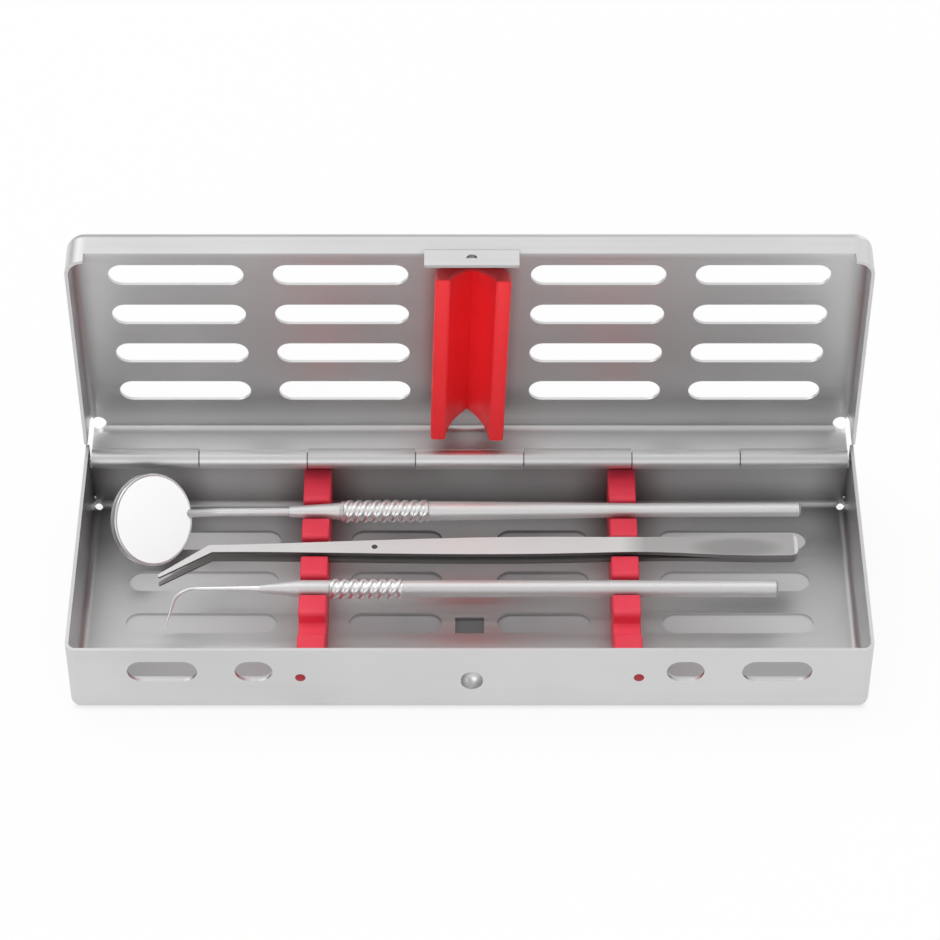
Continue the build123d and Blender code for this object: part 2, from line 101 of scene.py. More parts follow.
def addBump(tree, surface, height, strength, depth):
    node = tree.nodes.new("ShaderNodeBump")
    node.inputs["Strength"].default_value = strength
    node.inputs["Distance"].default_value = depth
    tree.links.new(height, node.inputs["Height"])
    tree.links.new(node.outputs["Normal"], surface.inputs["Normal"])


def startFinish(name):
    mat = bpy.data.materials.new(name)
    mat.use_nodes = True
    return mat, mat.node_tree, mat.node_tree.nodes["Principled BSDF"]


# camera, floor and light, in metres and degrees

studio = {
    "eye": (0.0, -0.5660, 0.6191),
    "tilt": 44.55,
    "lens": 135.23,
    "sensor": 36.0,
    "shift": (0.0004, 0.004),
    "clip": (0.05, 20.0),
    "floorHalf": 3.0,
    "floorDrop": 0.0002,
    "floorRoughness": 0.9,
    "floorColour": (0.95, 0.95, 0.95),
    "floorGlow": 0.9,  # share of plain white that is seen in the floor
    # painted shade: a darker patch beneath the tray, where its shadow falls
    "shadeHalf": (0.090, 0.031),
    "shadeEdge": (-0.003, 0.002),  # where it fades, outwards from that outline
    "shadeColour": (0.42, 0.42, 0.43),
    "holeShadeSpan": (0.0048, 0.0062),  # painted shade: a darker band across the patch, beneath the square hole
    "holeShadeEdge": (-0.006, -0.002),
    "holeShadeShare": 0.4,  # share of the patch's colour that is left there
    "paintedLightSpan": (0.015, 0.075),  # painted light: its little glow grows from the middle to the ends
    "paintedLightBelow": (0.02, 0.32),
    "paintedLightFrontSpan": (-0.018, -0.011),  # and is weaker along the front, painted shade there
    "paintedLightFront": 0.15,
    "skyColour": (0.8, 0.8, 0.8, 1.0),  # dims every panel, and the sky past the floor's far edge
    "skySeen": 1.0,
    "fill": 0.05,
    # soft panels around the set: turn from the right, height, strength
    "panels": (
        (-120, 8, 2.82), (-90, 8, 0.78), (-30, 8, 1.35), (60, 8, 1.88), (90, 8, 0.3),
        (145, 38, 2.16), (-30, 38, 0.73), (-115, 38, 0.26), (45, 65, 1.50), (135, 65, 1.50),
        (-135, 65, 0.51), (0, 90, 0.45), (-90, 50, 0.40),
    ),
    "panelSoftness": 10.0,
}


def makeCamera():
    data = bpy.data.cameras.new("studioCamera")
    data.lens = studio["lens"]
    data.sensor_width = studio["sensor"]
    data.shift_x, data.shift_y = studio["shift"]
    data.clip_start, data.clip_end = studio["clip"]
    camera = bpy.data.objects.new("studioCamera", data)
    camera.location = studio["eye"]
    camera.rotation_euler = (radians(studio["tilt"]), 0.0, 0.0)
    bpy.context.scene.collection.objects.link(camera)
    bpy.context.scene.camera = camera


def makeWorld():
    world = bpy.data.worlds.new("studioWorld")
    bpy.context.scene.world = world
    world.use_nodes = True
    tree = world.node_tree
    tree.nodes.clear()
    place = tree.nodes.new("ShaderNodeTexCoord")
    total = studio["fill"]
    for turn, height, strength in studio["panels"]:
        flat, lift = cos(radians(height)), sin(radians(height))
        facing = tree.nodes.new("ShaderNodeVectorMath")
        facing.operation = "DOT_PRODUCT"
        facing.inputs[1].default_value = (flat * cos(radians(turn)), flat * sin(radians(turn)), lift)
        tree.links.new(place.outputs["Generated"], facing.inputs[0])
        faced = calc(tree, "MAXIMUM", facing.outputs["Value"], 0.0)
        lobe = calc(tree, "POWER", faced, studio["panelSoftness"])
        total = calc(tree, "ADD", calc(tree, "MULTIPLY", lobe, strength), total)
    path = tree.nodes.new("ShaderNodeLightPath")
    seen = calc(tree, "MAXIMUM", path.outputs["Is Camera Ray"], path.outputs["Is Transmission Ray"])
    background = tree.nodes.new("ShaderNodeBackground")
    background.inputs["Color"].default_value = studio["skyColour"]
    level = blend(tree, seen, total, studio["skySeen"], "FLOAT")
    tree.links.new(level, background.inputs["Strength"])
    out = tree.nodes.new("ShaderNodeOutputWorld")
    tree.links.new(background.outputs["Background"], out.inputs["Surface"])


def makeFloorFinish():
    mat, tree, surface = startFinish("paleFloor")
    surface.inputs["Roughness"].default_value = studio["floorRoughness"]
    axes = splitAxes(tree, tree.nodes.new("ShaderNodeTexCoord").outputs["Object"])
    across = calc(tree, "ABSOLUTE", axes["X"])
    along = calc(tree, "ABSOLUTE", axes["Y"])
    pastEnd = calc(tree, "SUBTRACT", across, studio["shadeHalf"][0])
    pastSide = calc(tree, "SUBTRACT", along, studio["shadeHalf"][1])
    outside = calc(tree, "MAXIMUM", pastEnd, pastSide)

    # painted shade: the patch is grey, with a darker band across it beneath the square hole
    shade, plain = (*studio["shadeColour"], 1), (*studio["floorColour"], 1)
    patch = blend(tree, spread(tree, outside, *studio["shadeEdge"]), shade, plain)
    hole = dim(tree, patch, spread(tree, across, *studio["holeShadeSpan"], studio["holeShadeShare"]))
    colour = blend(tree, spread(tree, outside, *studio["holeShadeEdge"]), hole, patch)
    tree.links.new(colour, surface.inputs["Base Color"])

    # plain white is mixed in around the patch, and a little of it inside as painted light, more towards
    # the ends and less along the front
    below = spread(tree, across, *studio["paintedLightSpan"], *studio["paintedLightBelow"])
    front = spread(tree, axes["Y"], *studio["paintedLightFrontSpan"], studio["paintedLightFront"])
    inside = calc(tree, "MULTIPLY", below, front)
    fade = spread(tree, outside, *studio["shadeEdge"], inside, studio["floorGlow"])
    path = tree.nodes.new("ShaderNodeLightPath").outputs
    direct = calc(tree, "MAXIMUM", path["Is Camera Ray"], path["Is Transmission Ray"])
    seen = calc(tree, "MAXIMUM", direct, path["Is Glossy Ray"])
    glow = tree.nodes.new("ShaderNodeEmission")
    glow.inputs["Strength"].default_value = 1.0
    mix = tree.nodes.new("ShaderNodeMixShader")
    tree.links.new(calc(tree, "MULTIPLY", seen, fade), mix.inputs["Fac"])
    tree.links.new(surface.outputs["BSDF"], mix.inputs[1])
    tree.links.new(glow.outputs["Emission"], mix.inputs[2])
    tree.links.new(mix.outputs["Shader"], tree.nodes["Material Output"].inputs["Surface"])
    return mat


def makeFloor():
    half, drop = studio["floorHalf"], studio["floorDrop"]
    bm = bmesh.new()
    signs = ((-1, -1), (1, -1), (1, 1), (-1, 1))
    bm.faces.new([bm.verts.new((x * half, y * half, -drop)) for x, y in signs])
    mesh = bpy.data.meshes.new("studioFloor")
    bm.to_mesh(mesh)
    bm.free()
    floor = bpy.data.objects.new("studioFloor", mesh)
    bpy.context.scene.collection.objects.link(floor)
    mesh.materials.append(makeFloorFinish())


bpy.context.scene.view_settings.view_transform = "Standard"
makeCamera()
makeWorld()
makeFloor()
print("studio ready")


# finishes, with places and reaches in metres

steelSheet = {
    "colour": (0.737, 0.735, 0.737),
    "metallic": 1.0,
    "roughness": (0.34, 0.44),
    "grain": (18.0, 1500.0, 1500.0),  # strokes per metre along X, Y and Z
    "grainDetail": 3.0,
    "grainRange": (0.3, 0.7),  # part of the grain that the roughness runs over
    "grainBump": 0.03,
    "grainDepth": 0.0002,
    "mottle": 0.05,
    "mottleScale": 45.0,
    "mottleDetail": 2.0,
    # painted shade: share of the colour darkened by ambient occlusion in folds and corners
    "paintedFoldShade": 0.9,
    "foldReach": 0.009,
    "foldSamples": 8,
}
# painted shade: the tray's steel is set a little darker than the lid's
shadedTraySheet = dict(
    steelSheet, colour=(0.69, 0.688, 0.69),
    foldShadeSpan=(0.006, 0.028), frontFoldShade=0.05,  # the painted fold shade grows from front to back
)
lidSheet = dict(steelSheet, roughness=(0.33, 0.43), paintedFoldShade=0.45, foldReach=0.004)
turnedSteel = dict(
    steelSheet, colour=(0.82, 0.815, 0.815), metallic=0.6, roughness=(0.40, 0.44),
    grain=(900.0, 60.0, 60.0), grainBump=0.0, mottle=0.02, paintedFoldShade=0.6,
)
# painted shade: the probe's handle is the same turned steel, set darker to tone down its highlights
shadedProbeSteel = dict(turnedSteel, colour=(0.74, 0.735, 0.735), roughness=(0.44, 0.50))
# painted light: the grip's steel is set lighter than the handle's, for brighter highlights on its ridges
litGripSteel = dict(
    turnedSteel, colour=(0.92, 0.915, 0.915), metallic=0.85, roughness=(0.27, 0.31),
    paintedFoldShade=0.95, foldReach=0.0005,
)
tweezersSteel = dict(
    steelSheet, colour=(0.84, 0.835, 0.83), metallic=0.15, roughness=(0.55, 0.62),
    grain=(30.0, 1800.0, 1800.0), paintedFoldShade=0.9, foldReach=0.003,
    sideShadeTone=0.12, rearSideShadeTone=0.5, rearFade=0.02,  # painted shade on the cut sides, in front and at the rear
    flatSpan=(0.3, 0.8),  # how far up a face looks before it counts as flat
    padStart=0.0355, padFade=0.006, padTone=0.6,
    markMiddle=(0.063, 0.0057), markHalf=(0.0105, 0.0030), markFade=(0.3, 1.4), markTone=0.74,
    # painted highlight where the rounded rear end catches the light
    endHighlightStart=0.0764, endHighlightFade=0.0004,
)
# painted shade: the lower arm is the same steel as the upper one, made darker where it lies in shade
# beneath it
shadedLowerArmSteel = dict(tweezersSteel, colour=(0.32, 0.315, 0.31), sideShadeTone=0.5, rearSideShadeTone=1.2)
pinSteel = dict(turnedSteel, colour=(0.62, 0.62, 0.63), roughness=(0.22, 0.30))
# painted shade: the guide pin is made nearly black, standing in for the shade in the hole it sits in
shadedGuidePinSteel = dict(pinSteel, colour=(0.10, 0.10, 0.10), metallic=0.4, roughness=(0.5, 0.6))
polishedSteel = dict(turnedSteel, colour=(0.85, 0.85, 0.86), roughness=(0.10, 0.16), paintedFoldShade=0.1)


def addArmTones(tree, place, colour, v):
    axes = splitAxes(tree, place)
    x = axes["X"]
    # painted shade: the upright cut sides are left darker than the satin faces on top
    normal = splitAxes(tree, tree.nodes.new("ShaderNodeNewGeometry").outputs["Normal"])
    paintedSideTone = spread(tree, x, v["padStart"], v["padStart"] + v["rearFade"], v["sideShadeTone"], v["rearSideShadeTone"])
    flat = spread(tree, calc(tree, "ABSOLUTE", normal["Z"]), *v["flatSpan"], paintedSideTone)
    colour = dim(tree, colour, flat)
    # the rear pads are blasted to a darker grey
    pad = spread(tree, x, v["padStart"], v["padStart"] + v["padFade"], 1.0, v["padTone"])
    colour = dim(tree, colour, pad)
    # the worn oval where a thumb rests
    squares = []
    for axis, middle, half in zip("XY", v["markMiddle"], v["markHalf"]):
        away = spread(tree, axes[axis], middle, middle + half, clamp=False)
        squares.append(calc(tree, "MULTIPLY", away, away))
    distance = calc(tree, "ADD", *squares)
    colour = dim(tree, colour, spread(tree, distance, *v["markFade"], v["markTone"], smooth=True))
    # painted highlight: the rear end is bright again, where its rounded end catches the light
    end = spread(tree, x, v["endHighlightStart"], v["endHighlightStart"] + v["endHighlightFade"], 1.0, 1.0 / v["padTone"])
    return dim(tree, colour, end)


def makeSteel(name, values):
    mat, tree, surface = startFinish(name)
    surface.inputs["Metallic"].default_value = values["metallic"]
    place = tree.nodes.new("ShaderNodeTexCoord").outputs["Object"]
    stretch = tree.nodes.new("ShaderNodeMapping")
    stretch.inputs["Scale"].default_value = values["grain"]
    tree.links.new(place, stretch.inputs["Vector"])
    grain = addNoise(tree, stretch.outputs["Vector"], 1.0, values["grainDetail"])
    gloss = spread(tree, grain, *values["grainRange"], *values["roughness"])
    tree.links.new(gloss, surface.inputs["Roughness"])
    addBump(tree, surface, grain, values["grainBump"], values["grainDepth"])

    # large soft patches of tone, and painted shade: ambient occlusion darkens the colour in folds, corners
    # and under things
    mottle = addNoise(tree, place, values["mottleScale"], values["mottleDetail"])
    darker = tuple(c * (1 - values["mottle"] * 2) for c in values["colour"])
    tone = blend(tree, mottle, (*darker, 1), (*values["colour"], 1))
    fold = tree.nodes.new("ShaderNodeAmbientOcclusion")
    fold.samples = values["foldSamples"]
    fold.inputs["Distance"].default_value = values["foldReach"]
    tree.links.new(tone, fold.inputs["Color"])
    foldShadeShare = values["paintedFoldShade"]
    if "foldShadeSpan" in values:
        depth = splitAxes(tree, place)["Y"]
        foldShadeShare = spread(tree, depth, *values["foldShadeSpan"], values["frontFoldShade"], foldShadeShare)
    colour = blend(tree, foldShadeShare, tone, fold.outputs["Color"])
    if "sideShadeTone" in values:
        colour = addArmTones(tree, place, colour, values)
    tree.links.new(colour, surface.inputs["Base Color"])
    return mat


siliconeRed = {
    "colour": (0.95, 0.06, 0.105),
    "deep": (0.88, 0.035, 0.075),
    "cloudScale": 120.0,
    "cloudDetail": 3.0,
    "roughness": (0.38, 0.52),
    "skinScale": 2600.0,
    "skinDetail": 2.0,
    "bump": 0.06,
    "bumpDepth": 0.0002,
    "scatter": 0.15,
    "scatterReach": (0.002, 0.0004, 0.0004),
    "specular": 0.45,
}
# painted shade: the plugs are the rails' silicone, made darker where they sit in their holes
shadedSiliconePlug = dict(siliconeRed, colour=(0.42, 0.012, 0.025), deep=(0.30, 0.008, 0.018))
siliconeLid = dict(siliconeRed, colour=(0.97, 0.03, 0.04), deep=(0.92, 0.022, 0.03))


def makeSilicone(name, values):
    mat, tree, surface = startFinish(name)
    surface.inputs["Subsurface Weight"].default_value = values["scatter"]
    surface.inputs["Subsurface Radius"].default_value = values["scatterReach"]
    surface.inputs["Subsurface Scale"].default_value = 1.0
    surface.inputs["Specular IOR Level"].default_value = values["specular"]
    place = tree.nodes.new("ShaderNodeTexCoord").outputs["Object"]
    cloud = addNoise(tree, place, values["cloudScale"], values["cloudDetail"])
    tone = blend(tree, cloud, (*values["deep"], 1), (*values["colour"], 1))
    tree.links.new(tone, surface.inputs["Base Color"])
    skin = addNoise(tree, place, values["skinScale"], values["skinDetail"])
    gloss = spread(tree, skin, 0.0, 1.0, *values["roughness"])
    tree.links.new(gloss, surface.inputs["Roughness"])
    addBump(tree, surface, skin, values["bump"], values["bumpDepth"])
    return mat


mirrorFace = {
    "colour": (0.93, 0.93, 0.935),
    # painted reflection: half the glass is a plain pale diffuse face, so that it reads as white as the
    # light it reflects
    "metallic": 0.5,
    "roughness": 0.02,
    "haze": 0.05,
    "smearScale": 180.0,
    "smearDetail": 4.0,
    "smearRange": (0.45, 0.8),
    "tilt": (-0.46, -0.2, 1.18),  # added to the shading normal
}


def makeMirrorGlass(name, values):
    mat, tree, surface = startFinish(name)
    surface.inputs["Base Color"].default_value = (*values["colour"], 1)
    surface.inputs["Metallic"].default_value = values["metallic"]
    # the tilt makes the glass show the light above the tray, and not the inside of the lid
    lifted = tree.nodes.new("ShaderNodeVectorMath")
    lifted.operation = "ADD"
    lifted.inputs[1].default_value = values["tilt"]
    facing = tree.nodes.new("ShaderNodeNewGeometry")
    tree.links.new(facing.outputs["Normal"], lifted.inputs[0])
    unit = tree.nodes.new("ShaderNodeVectorMath")
    unit.operation = "NORMALIZE"
    tree.links.new(lifted.outputs["Vector"], unit.inputs[0])
    tree.links.new(unit.outputs["Vector"], surface.inputs["Normal"])
    place = tree.nodes.new("ShaderNodeTexCoord").outputs["Object"]
    smear = addNoise(tree, place, values["smearScale"], values["smearDetail"])
    clean, hazy = values["roughness"], values["roughness"] + values["haze"]
    tree.links.new(spread(tree, smear, *values["smearRange"], clean, hazy), surface.inputs["Roughness"])
    return mat


finishes = {
    "base_tray": makeSteel("trayFinish", shadedTraySheet),
    "lid": makeSteel("lidFinish", lidSheet),
    "hinge_pin": makeSteel("pinFinish", pinSteel),
    "mirror_handle": makeSteel("handleFinish", turnedSteel),
    "mirror_cup": makeSteel("polishedFinish", polishedSteel),
    "mirror_glass": makeMirrorGlass("glassFinish", mirrorFace),
    "tweezers_upper_arm": makeSteel("tweezersFinish", tweezersSteel),
    "tweezers_lower_arm": makeSteel("shadedLowerArmFinish", shadedLowerArmSteel),
    "tweezers_guide_pin": makeSteel("shadedGuidePinFinish", shadedGuidePinSteel),
    "probe_handle": makeSteel("shadedProbeFinish", shadedProbeSteel),
}
finishes["mirror_stem"] = finishes["mirror_handle"]
finishes["probe_tip"] = finishes["mirror_cup"]
litGripFinish = makeSteel("litGripFinish", litGripSteel)
railFinish = makeSilicone("railFinish", siliconeRed)
shadedPlugFinish = makeSilicone("shadedPlugFinish", shadedSiliconePlug)
stripFinish = makeSilicone("stripFinish", siliconeLid)

for nodeName, finish in finishes.items():
    mesh = nodes[nodeName].data
    mesh.materials.clear()
    mesh.materials.append(finish)
print("finishes ready")


# pieces made here, with their sizes in millimetres and degrees

def linkMesh(bm, name, finish, sharpAngle=40.0):
    bmesh.ops.remove_doubles(bm, verts=bm.verts, dist=1e-7)
    bmesh.ops.recalc_face_normals(bm, faces=bm.faces)
    for face in bm.faces:
        face.smooth = True
    for edge in bm.edges:
        edge.smooth = len(edge.link_faces) == 2 and edge.calc_face_angle(0.0) < radians(sharpAngle)
    mesh = bpy.data.meshes.new(name)
    bm.to_mesh(mesh)
    bm.free()
    piece = bpy.data.objects.new(name, mesh)
    bpy.context.scene.collection.objects.link(piece)
    mesh.materials.append(finish)
    return piece


def roundedOutline(corners, steps=5):
    # corners are (across, up, radius); a radius of 0 stays sharp
    points = []
    count = len(corners)
    for index, (a, b, radius) in enumerate(corners):
        here = Vector((a, b))
        if radius <= 0:
            points.append(here)
            continue
        before = (Vector(corners[index - 1][:2]) - here).normalized()
        after = (Vector(corners[(index + 1) % count][:2]) - here).normalized()
        half = before.angle(after) / 2
        reach = radius / abs(sin(half) / cos(half))
        middle = here + (before + after).normalized() * radius / sin(half)
        first = here + before * reach - middle
        last = here + after * reach - middle
        for step in range(steps + 1):
            part = step / steps
            angle = first.angle_signed(last) * part
            points.append(middle + Matrix.Rotation(-angle, 2) @ first)
    return points


def addExtruded(bm, outline, place, start, end, edgeRound, segments=3):
    # outline is a closed loop of (a, b); place(a, b, t) gives the point at depth t
    first = [bm.verts.new(place(p[0], p[1], start)) for p in outline]
    last = [bm.verts.new(place(p[0], p[1], end)) for p in outline]
    faces = [bm.faces.new(first), bm.faces.new(last)]
    for index in range(len(outline)):
        after = (index + 1) % len(outline)
        faces.append(bm.faces.new((first[index], first[after], last[after], last[index])))
    bmesh.ops.recalc_face_normals(bm, faces=bm.faces)
    rims = [edge for face in faces[:2] for edge in face.edges]
    bmesh.ops.bevel(
        bm, geom=rims, offset=edgeRound, offset_type="OFFSET", segments=segments,
        profile=0.5, affect="EDGES", clamp_overlap=True,
    )


plugDome = 0.35  # height of a stud's dome, as a share of its radius


def addPlug(bm, centre, axis, radius, length, domeSteps=4, around=20):
    # a short round stud with a domed end
    along = Vector(axis).normalized()
    side = along.orthogonal().normalized()
    other = along.cross(side)
    dome = radius * plugDome
    rings = [(0.0, radius), (length - dome, radius)]
    for step in range(1, domeSteps):
        angle = pi / 2 * step / domeSteps
        rings.append((length - dome * (1 - sin(angle)), radius * cos(angle)))
    loops = []
    for reach, wide in rings:
        loop = []
        for turn in range(around):
            angle = 2 * pi * turn / around
            outward = side * cos(angle) + other * sin(angle)
            loop.append(bm.verts.new(Vector(centre) + along * reach + outward * wide))
        loops.append(loop)
    for low, high in zip(loops, loops[1:]):
        for turn in range(around):
            after = (turn + 1) % around
            bm.faces.new((low[turn], low[after], high[after], high[turn]))
    bm.faces.new(loops[-1])
    bm.faces.new(list(reversed(loops[0])))


railValues = {
    "x": 36.5,
    "width": 6.5,
    "halfLength": 32.15,
    "bottom": 0.8,
    "top": 13.8,
    "notchFloor": 10.4,
    "notchWidth": 5.6,
    "notchPitch": 12.3,
    "notchCount": 4,
    "toothRound": 1.3,
    "notchRound": 0.45,
    "footRound": 2.3,
    "edgeRound": 0.8,
    "plugX": 38.7,
    "plugZ": 11.2,
    "plugRadius": 0.95,
    "plugLength": 1.0,
    "plugSink": 0.2,  # how deep a stud starts inside the rail
    "headStart": 33.03,
    "headRadius": 1.2,
    "headLength": 0.26,
}


def makeRail(name, side):
    v = railValues
    half = v["halfLength"]
    corners = [(-half, v["bottom"], v["footRound"]), (-half, v["top"], v["toothRound"])]
    for row in range(v["notchCount"]):
        middle = (row - (v["notchCount"] - 1) / 2) * v["notchPitch"]
        near, far = middle - v["notchWidth"] / 2, middle + v["notchWidth"] / 2
        corners += [
            (near, v["top"], v["toothRound"]), (near, v["notchFloor"], v["notchRound"]),
            (far, v["notchFloor"], v["notchRound"]), (far, v["top"], v["toothRound"]),
        ]
    corners += [(half, v["top"], v["toothRound"]), (half, v["bottom"], v["footRound"])]
    outline = roundedOutline(corners)
    bm = bmesh.new()
    start = side * v["x"] - v["width"] / 2

    def place(a, b, t):
        return Vector((t, a, b)) * mm

    addExtruded(bm, outline, place, start, start + v["width"], v["edgeRound"] * mm)
    for end in (-1, 1):
        foot = Vector((side * v["plugX"], end * (half - v["plugSink"]), v["plugZ"])) * mm
        addPlug(bm, foot, (0, end, 0), v["plugRadius"] * mm, (v["plugLength"] + v["plugSink"]) * mm)
        head = Vector((side * v["plugX"], end * v["headStart"], v["plugZ"])) * mm
        addPlug(bm, head, (0, end, 0), v["headRadius"] * mm, v["headLength"] * mm)
    rail = linkMesh(bm, name, railFinish)
    rail.data.materials.append(shadedPlugFinish)
    for face in rail.data.polygons:
        if abs(face.center.y) > half * mm:
            face.material_index = 1
    return rail


railPlaces = (("softRailLeft", "rail_left", -1), ("softRailRight", "rail_right", 1))
for railName, nodeName, side in railPlaces:
    rail = makeRail(railName, side)
    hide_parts(nodeName)
    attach(rail, "tray")
print("rails made")


stripValues = {
    "hinge": (30.5, 18.2),
    "open": 88.0,
    "depths": (-52.3, -6.5),
    "seat": 12.0,  # height of the lid's panel above the hinge axis
    "seatHalf": 4.3,
    "halfWidth": 8.7,
    "bendSteps": 8,
    "lipTop": 4.0,
    "lipEdge": -0.3,
    "lipInside": 5.4,
    "lipRound": 0.9,
    "lipFoot": (3.0, 5.0),  # the lip's inner side heads for this point
    "valley": 10.0,
    "valleyBulge": 0.9,
    "valleySteps": 12,
    "edgeRound": 0.7,
    "lean": 1.7,  # degrees that it sits askew on the lid
    "slant": 7.6,  # how far the lips reach past the seat at the front end
    "studs": (-42.4, -16.4),
    "studRadius": 2.0,
    "studSink": 0.2,
    "studLength": 1.1,
    "headStart": 0.8,  # above the seat, the thickness of the lid
    "headRadius": 3.2,
    "headHeight": 1.2,
}


def lidPoint(x, depth, height):
    v = stripValues
    turn = radians(v["open"])
    y = v["hinge"][0] + depth * cos(turn) + height * sin(turn)
    z = v["hinge"][1] - depth * sin(turn) + height * cos(turn)
    return Vector((x, y, z)) * mm


def makeStrip():
    v = stripValues
    half = []
    bend = v["halfWidth"] - v["seatHalf"]
    for step in range(v["bendSteps"] + 1):
        angle = pi / 2 * step / v["bendSteps"]
        half.append((v["seatHalf"] + bend * sin(angle), v["seat"] - bend * (1 - cos(angle))))
    tip = roundedOutline([
        (v["halfWidth"], v["lipTop"], 0),
        (v["halfWidth"], v["lipEdge"], v["lipRound"]),
        (v["lipInside"], v["lipEdge"], v["lipRound"]),
        (*v["lipFoot"], 0),
    ])
    half += [(p[0], p[1]) for p in tip[:-1]]
    innerStart = Vector(half[-1])
    innerEnd = Vector((0.0, v["valley"]))
    bulge = Vector((v["valleyBulge"], v["valleyBulge"] / 2)) * 2
    control = (innerStart + innerEnd) / 2 + bulge
    for step in range(1, v["valleySteps"] + 1):
        t = step / v["valleySteps"]
        half.append(tuple(innerStart * (1 - t) ** 2 + control * 2 * t * (1 - t) + innerEnd * t ** 2))
    outline = half + [(-a, b) for a, b in reversed(half[:-1])]
    middle = sum(v["depths"]) / 2
    lean = radians(v["lean"])

    def place(a, b, t):
        if t < middle:
            t -= v["slant"] * (v["seat"] - b) / (v["seat"] - v["lipEdge"])
        run = t - middle
        across = a * cos(lean) - run * sin(lean)
        return lidPoint(across, middle + run * cos(lean) + a * sin(lean), b)

    bm = bmesh.new()
    addExtruded(bm, outline, place, *v["depths"], v["edgeRound"] * mm)
    # studs through the panel with mushroom heads behind it
    along = lidPoint(0, 0, 1) - lidPoint(0, 0, 0)
    for depth in v["studs"]:
        stud = lidPoint(0, depth, v["seat"] - v["studSink"])
        addPlug(bm, stud, along, v["studRadius"] * mm, v["studLength"] * mm, 2, 32)
        head = lidPoint(0, depth, v["seat"] + v["headStart"])
        addPlug(bm, head, along, v["headRadius"] * mm, v["headHeight"] * mm, 6, 40)
    return linkMesh(bm, "softHoldDown", stripFinish)


strip = makeStrip()
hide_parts("hold_down_strip")
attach(strip, "lid")
print("hold-down made")


mirrorHead = {
    "centre": (-75.1, 15.9, 12.4),
    "turn": 38.0,  # degrees it faces towards the right, and up towards the front
    "pitch": 45.5,
    "glassRadius": 10.45,
    "radius": 11.0,
    "depth": 2.6,
    "glassDepth": 1.0,
    "rimRound": 0.26,
    "rimSteps": 8,
    "neck": (0.55, 0.68, 1.45),  # below the rim: where the neck starts, is reached and ends
    "neckIn": 0.07,
    "backRound": 0.9,
    "backSteps": 6,
    "backRings": (6.0, 3.0, 0.0),
    "around": 144,
}


def headAxis():
    turn, lift = radians(mirrorHead["turn"]), radians(90 - mirrorHead["pitch"])
    return Vector((sin(turn), -sin(lift) * cos(turn), cos(lift) * cos(turn)))


def makeCup():
    v = mirrorHead
    up = headAxis()
    side = up.orthogonal().normalized()
    other = up.cross(side)
    rim = v["rimRound"]
    profile = [(0.0, -v["glassDepth"]), (v["glassRadius"], -v["glassDepth"]), (v["glassRadius"], -rim)]
    middle = (v["glassRadius"] + v["radius"]) / 2
    reach = (v["radius"] - v["glassRadius"]) / 2
    for step in range(1, v["rimSteps"] + 1):
        angle = pi * step / v["rimSteps"]
        profile.append((middle - reach * cos(angle), -rim + rim * sin(angle)))
    neckStart, neckReached, neckEnd = v["neck"]
    neck = v["radius"] - v["neckIn"]
    profile += [(v["radius"], -neckStart), (neck, -neckReached), (neck, -neckEnd)]
    curve = v["backRound"]
    for step in range(v["backSteps"] + 1):
        angle = pi / 2 * step / v["backSteps"]
        profile.append((v["radius"] - curve * (1 - cos(angle)), curve * (1 - sin(angle)) - v["depth"]))
    profile += [(ring, -v["depth"]) for ring in v["backRings"]]
    bm = bmesh.new()
    centre = Vector(v["centre"]) * mm
    rings = []
    for wide, high in profile:
        base = centre + up * high * mm
        if wide <= 0:
            rings.append([bm.verts.new(base)])
            continue
        ring = []
        for turn in range(v["around"]):
            angle = 2 * pi * turn / v["around"]
            outward = side * cos(angle) + other * sin(angle)
            ring.append(bm.verts.new(base + outward * wide * mm))
        rings.append(ring)
    for low, high in zip(rings, rings[1:]):
        for turn in range(v["around"]):
            after = (turn + 1) % v["around"]
            lower = [low[turn % len(low)], low[after % len(low)]]
            upper = [high[after % len(high)], high[turn % len(high)]]
            # the first and last rings are one point each, so the faces there have three corners
            bm.faces.new(dict.fromkeys(lower + upper))
    return linkMesh(bm, "rolledCup", finishes["mirror_cup"])


cup = makeCup()
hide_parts("mirror_cup")
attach(cup, "mirror")
print("mirror cup made")


# weld beads where the walls meet at the tray's back corners

weldValues = {"x": (90.75, 91.25), "y": (32.3, 32.9), "z": (3.4, 12.8)}


def makeWelds():
    bm = bmesh.new()
    v = weldValues
    for side in (-1, 1):
        size = [v[axis][1] - v[axis][0] for axis in "xyz"]
        middle = [sum(v[axis]) / 2 for axis in "xyz"]
        place = Matrix.Translation(Vector((side * middle[0], middle[1], middle[2])) * mm)
        bmesh.ops.create_cube(bm, size=mm, matrix=place @ Matrix.Diagonal((*size, 1)))
    return linkMesh(bm, "cornerWelds", finishes["base_tray"])


welds = makeWelds()
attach(welds, "tray")
print("welds made")


# ridged grips, one tree for both handles

gripValues = {
    "mirrorGrip": {
        "start": -30.4, "length": 21.0, "radius": 2.35,
        "y": 18.8, "z": 12.4, "turn": 0.35, "body": "mirror",
    },
    "probeGrip": {
        "start": -33.0, "length": 17.6, "radius": 2.0,
        "y": -6.7, "z": 12.7, "turn": 0.0, "body": "probe",
    },
}
ridgeValues = {
    "pitch": 2.2,
    "height": 0.34,
    "starts": 3,
    "width": 0.5,  # as a share of the pitch
    "softness": 0.09,  # the same, for the ridges' flanks
    "endHighlightFade": 0.03,  # share of the length in which the ridges run out
    "endSink": -0.5,  # share of their height by which the ends lie below the skin
    "lift": 0.03,
    "along": 14,  # steps in one pitch
    "around": 96,
    "weld": 1e-6,
}


